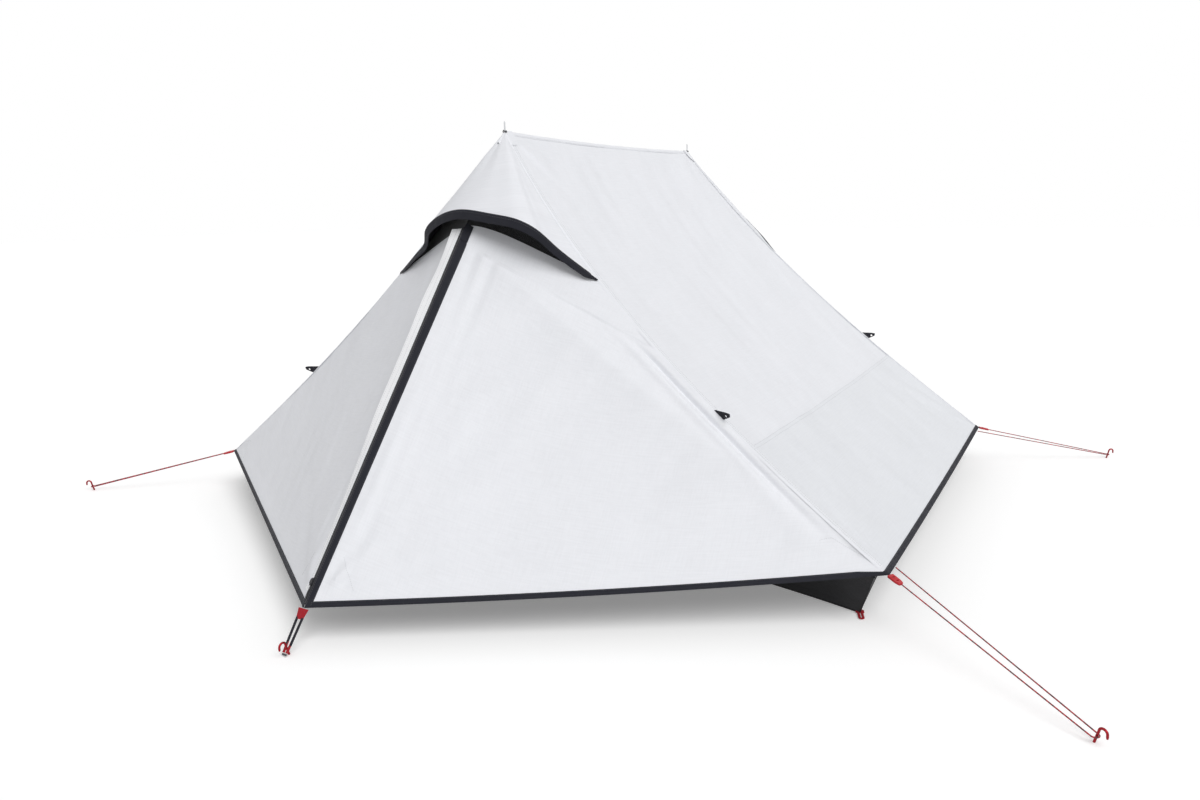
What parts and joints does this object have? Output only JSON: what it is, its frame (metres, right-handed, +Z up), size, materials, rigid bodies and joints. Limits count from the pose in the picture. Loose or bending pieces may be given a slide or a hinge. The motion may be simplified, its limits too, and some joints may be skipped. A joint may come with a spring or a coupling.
{
  "type": "camping tent",
  "caption": "Ridge tent with a white fly over two upright poles, a zipped door at each end, pegged guylines and a dark inner tent on a bathtub floor.",
  "frame": {"origin": "on the ground, under the middle of the pitched tent", "axes": "+X along the sleepers towards the right end panel, +Y along the ridge away from the front door, +Z up"},
  "size_m": [3.1734, 2.9506, 1.209],
  "materials": {
    "fly_cloth": "coated white polyester",
    "black_binding": "black woven tape",
    "inner_net": "black mesh",
    "tub_fabric": "black coated nylon",
    "red_webbing": "red woven webbing",
    "red_line_lock": "moulded red",
    "red_cord": "red braid with dark flecks",
    "zip_metal": "black enamel",
    "pole_alloy": "drawn alloy tube",
    "peg_metal": "bent alloy rod"
  },
  "bodies": {
    "root": {"back_apex_cap": "fly_cloth", "back_door_gusset": "fly_cloth", "back_fixed_panel": "fly_cloth", "back_hood": "fly_cloth", "back_hood_binding": "black_binding", "back_inner_door_roll": "inner_net", "back_inner_wall": "inner_net", "back_left_guy_peg": "peg_metal", "back_left_guyline": "red_cord", "back_left_line_lock": "red_line_lock", "back_left_seam_tab": "black_binding", "back_point_peg": "peg_metal", "back_point_strap": "red_webbing", "back_pole_lower": "pole_alloy", "back_pole_upper": "pole_alloy", "back_right_guy_peg": "peg_metal", "back_right_guyline": "red_cord", "back_right_line_lock": "red_line_lock", "back_right_seam_tab": "black_binding", "back_vent_net": "inner_net", "back_zip_fixed_tape": "black_binding", "front_apex_cap": "fly_cloth", "front_door_gusset": "fly_cloth", "front_fixed_panel": "fly_cloth", "front_hood": "fly_cloth", "front_hood_binding": "black_binding", "front_inner_door_roll": "inner_net", "front_inner_wall": "inner_net", "front_left_guy_peg": "peg_metal", "front_left_guyline": "red_cord", "front_left_line_lock": "red_line_lock", "front_left_seam_tab": "black_binding", "front_point_peg": "peg_metal", "front_point_strap": "red_webbing", "front_pole_lower": "pole_alloy", "front_pole_upper": "pole_alloy", "front_right_guy_peg": "peg_metal", "front_right_guyline": "red_cord", "front_right_line_lock": "red_line_lock", "front_right_seam_tab": "black_binding", "front_vent_net": "inner_net", "front_zip_fixed_tape": "black_binding", "inner_tub": "tub_fabric", "left_end_panel": "fly_cloth", "left_hem": "black_binding", "left_inner_canopy": "inner_net", "right_end_panel": "fly_cloth", "right_hem": "black_binding", "right_inner_canopy": "inner_net"},
    "front_door_leaf": {"front_door": "fly_cloth", "front_door_hem": "black_binding", "front_zip_door_tape": "black_binding"},
    "front_slider": {"front_zip_slider": "zip_metal"},
    "front_pull": {"front_zip_pull": "zip_metal"},
    "back_door_leaf": {"back_door": "fly_cloth", "back_door_hem": "black_binding", "back_zip_door_tape": "black_binding"},
    "back_slider": {"back_zip_slider": "zip_metal"},
    "back_pull": {"back_zip_pull": "zip_metal"}
  },
  "joints": [
    {"name": "front_door_swing", "type": "hinge", "parent": "root", "child": "front_door_leaf", "pos_m": [1.08752, -0.75981, 0.12683], "axis": [-0.8176, -0.0383, 0.5745], "range_deg": [0, 135]},
    {"name": "front_zip_slide", "type": "slide", "parent": "root", "child": "front_slider", "axis": [0, 0.5905, 0.807], "range_m": [0, 0.9]},
    {"name": "front_zip_pull_swing", "type": "hinge", "parent": "front_slider", "child": "front_pull", "pos_m": [-0.00686, -1.3694, 0.12605], "axis": [-0.9112, 0.3326, -0.2433], "range_deg": [0, 90]},
    {"name": "back_door_swing", "type": "hinge", "parent": "root", "child": "back_door_leaf", "pos_m": [-1.08752, 0.75981, 0.12683], "axis": [0.8176, 0.0383, 0.5745], "range_deg": [0, 135]},
    {"name": "back_zip_slide", "type": "slide", "parent": "root", "child": "back_slider", "axis": [0, -0.5905, 0.807], "range_m": [0, 0.9]},
    {"name": "back_zip_pull_swing", "type": "hinge", "parent": "back_slider", "child": "back_pull", "pos_m": [0.00686, 1.3694, 0.12605], "axis": [0.9112, -0.3326, -0.2433], "range_deg": [0, 90]}
  ]
}
